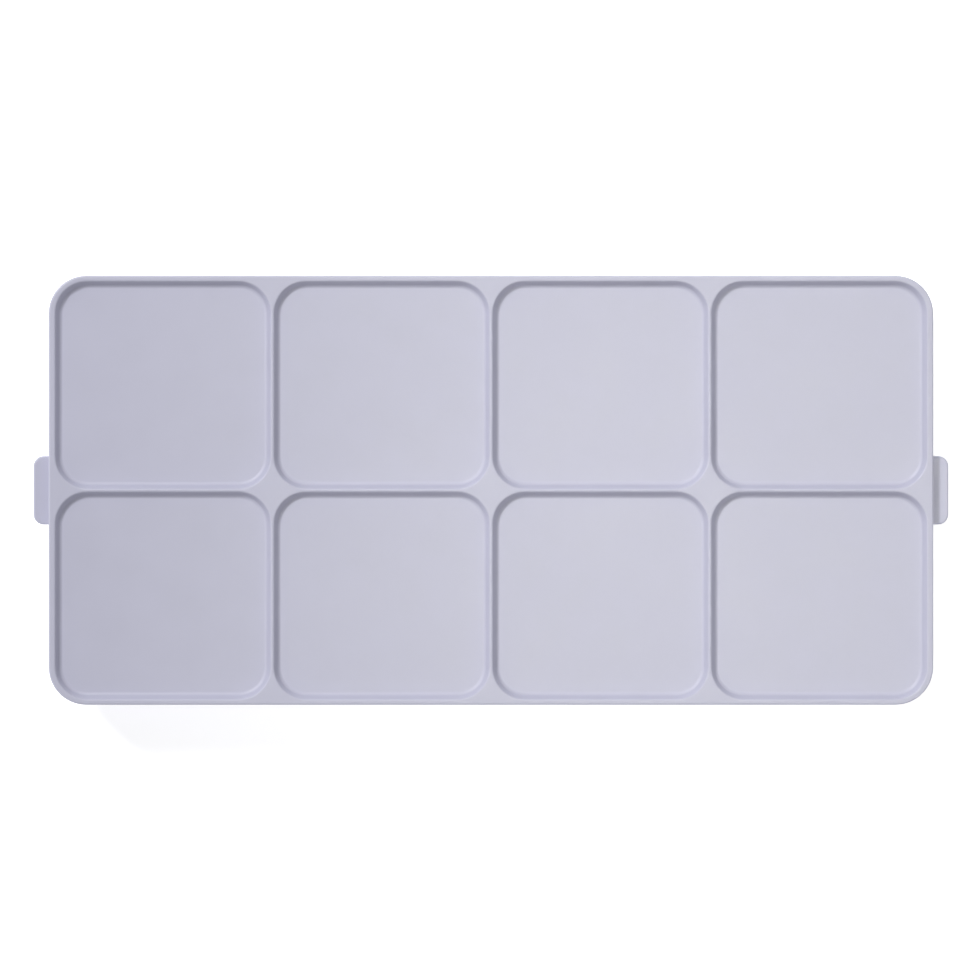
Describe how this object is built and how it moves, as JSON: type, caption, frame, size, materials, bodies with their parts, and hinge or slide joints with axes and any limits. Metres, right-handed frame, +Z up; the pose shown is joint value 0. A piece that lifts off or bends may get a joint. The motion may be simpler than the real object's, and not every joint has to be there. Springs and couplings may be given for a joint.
{
  "type": "wet palette",
  "caption": "Low rectangular wet palette: a shallow lid tray with a grid of square mixing wells over a water base with sponge and membrane paper, held by a swing latch at each end",
  "frame": {"origin": "middle of the palette's footprint, on the plane its feet stand on", "axes": "+X along the long side towards the right latch, +Y along the short side, +Z up out of the mixing wells"},
  "size_m": [0.2436, 0.114, 0.028],
  "materials": {
    "tray_plastic": "fine satin moulding texture, pale lavender grey",
    "base_plastic": "fine satin moulding texture, pale lavender grey",
    "seal_silicone": "soft translucent silicone, satin",
    "pin_steel": "drawn steel rod",
    "membrane": "damp parchment membrane, slightly see-through",
    "foam": "open-celled cellulose foam",
    "foot_rubber": "matte rubber"
  },
  "bodies": {
    "base": {"base_tray": "base_plastic", "foot_pads": "foot_rubber"},
    "sponge": {"sponge_pad": "foam"},
    "paper": {"palette_paper": "membrane"},
    "tray": {"mixing_tray": "tray_plastic", "tray_seal": "seal_silicone", "left_latch_pin": "pin_steel", "right_latch_pin": "pin_steel"},
    "latch_left": {"left_latch": "tray_plastic"},
    "latch_right": {"right_latch": "tray_plastic"}
  },
  "joints": [
    {"name": "sponge_lift", "type": "slide", "parent": "base", "child": "sponge", "axis": [0, 0, 1], "range_m": [0, 0.03]},
    {"name": "paper_lift", "type": "slide", "parent": "sponge", "child": "paper", "axis": [0, 0, 1], "range_m": [0, 0.03]},
    {"name": "tray_lift", "type": "slide", "parent": "paper", "child": "tray", "axis": [0, 0, 1], "range_m": [0, 0.06]},
    {"name": "left_latch_hinge", "type": "hinge", "parent": "tray", "child": "latch_left", "pos_m": [-0.1197, 0, 0.0203], "axis": [0, 1, 0], "range_deg": [-15, 90]},
    {"name": "right_latch_hinge", "type": "hinge", "parent": "tray", "child": "latch_right", "pos_m": [0.1197, 0, 0.0203], "axis": [0, -1, 0], "range_deg": [-15, 90]}
  ]
}
